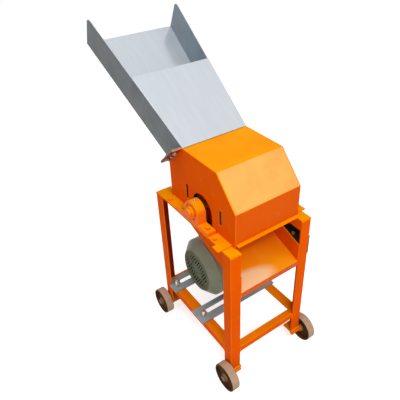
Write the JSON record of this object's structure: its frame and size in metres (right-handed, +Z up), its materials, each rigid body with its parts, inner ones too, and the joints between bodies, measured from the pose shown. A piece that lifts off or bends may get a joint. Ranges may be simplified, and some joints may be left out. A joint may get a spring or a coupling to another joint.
{
  "type": "chaff cutter",
  "caption": "Motor-driven chaff cutter: knife rotor under a hinged hood with inclined feed tray and discharge chute, on a wheeled angle-iron frame.",
  "frame": {"origin": "floor level under the middle of the overall box", "axes": "+X along the rotor shaft towards the belt side, -Y towards the discharge chute, +Z up"},
  "size_m": [0.409, 0.8968, 1.1397],
  "materials": {
    "orange_paint": "semi-gloss enamel",
    "tray_sheet": "smooth sheet",
    "rail_grey": "satin",
    "motor_grey": "satin",
    "zinc": "zinc plated",
    "steel": "ground",
    "cast_iron": "as cast",
    "black_paint": "semi-gloss",
    "belt_rubber": "matt",
    "fan_plastic": "matt",
    "wheel_resin": "worn"
  },
  "bodies": {
    "frame": {"leg_front_left": "orange_paint", "leg_front_right": "orange_paint", "leg_back_left": "orange_paint", "leg_back_right": "orange_paint", "top_rail_left": "orange_paint", "top_rail_right": "orange_paint", "top_tie_back": "orange_paint", "bottom_rail_left": "orange_paint", "bottom_rail_right": "orange_paint", "bottom_tie_front": "orange_paint", "bottom_tie_back": "orange_paint", "axle_feet": "orange_paint", "axle_nuts": "steel", "motor_rail_front_bar": "rail_grey", "motor_rail_back_bar": "rail_grey", "rail_bolts": "zinc", "motor_stator": "motor_grey", "motor_feet": "motor_grey", "motor_shield_drive": "motor_grey", "motor_shield_fan": "motor_grey", "fan_cover": "motor_grey", "terminal_box": "motor_grey", "terminal_lid": "motor_grey", "motor_bolts": "zinc", "bearing_block_left": "orange_paint", "bearing_block_right": "orange_paint", "bearing_bolts": "orange_paint", "chute_floor": "orange_paint", "chute_wall_left": "orange_paint", "chute_wall_right": "orange_paint", "belt_guard": "black_paint", "guard_strap": "black_paint", "guard_bolts": "zinc", "drive_belt": "belt_rubber", "hinge_leaf_frame": "zinc"},
    "hood": {"hood_sheet": "orange_paint", "hood_back_sheet": "orange_paint", "hood_plate_left": "orange_paint", "hood_plate_right": "orange_paint", "hood_tabs": "orange_paint", "hood_screws": "orange_paint", "inlet_flange": "orange_paint", "tray_flange": "tray_sheet", "flange_bolts": "zinc", "feed_tray": "tray_sheet", "tray_cover": "tray_sheet", "counter_knife": "steel", "hinge_leaf_hood": "zinc"},
    "rotor": {"rotor_shaft": "steel", "knife_carriers": "orange_paint", "knives": "steel", "knife_bolts": "zinc", "rotor_pulley": "cast_iron"},
    "motor_rotor": {"motor_shaft": "steel", "motor_fan": "fan_plastic", "motor_pulley": "cast_iron"},
    "wheel_fl": {"wheel_front_left": "wheel_resin"},
    "wheel_fr": {"wheel_front_right": "wheel_resin"},
    "wheel_bl": {"wheel_back_left": "wheel_resin"},
    "wheel_br": {"wheel_back_right": "wheel_resin"}
  },
  "joints": [
    {"name": "hood_hinge", "type": "hinge", "parent": "frame", "child": "hood", "pos_m": [0, 0.01061, 0.616], "axis": [-1, 0, 0], "range_deg": [0, 70]},
    {"name": "rotor_spin", "type": "hinge", "parent": "frame", "child": "rotor", "pos_m": [0, -0.18339, 0.65], "axis": [1, 0, 0], "continuous": true},
    {"name": "motor_spin", "type": "hinge", "parent": "frame", "child": "motor_rotor", "pos_m": [0, -0.09639, 0.29], "axis": [1, 0, 0], "continuous": true},
    {"name": "wheel_fl_spin", "type": "hinge", "parent": "frame", "child": "wheel_fl", "pos_m": [-0.184, -0.39539, 0.053], "axis": [1, 0, 0], "continuous": true},
    {"name": "wheel_fr_spin", "type": "hinge", "parent": "frame", "child": "wheel_fr", "pos_m": [0.184, -0.39539, 0.053], "axis": [1, 0, 0], "continuous": true},
    {"name": "wheel_bl_spin", "type": "hinge", "parent": "frame", "child": "wheel_bl", "pos_m": [-0.184, 0.04861, 0.053], "axis": [1, 0, 0], "continuous": true},
    {"name": "wheel_br_spin", "type": "hinge", "parent": "frame", "child": "wheel_br", "pos_m": [0.184, 0.04861, 0.053], "axis": [1, 0, 0], "continuous": true}
  ],
  "couplings": [
    {"joint": "motor_spin", "follows": "rotor_spin", "ratio": 2}
  ]
}
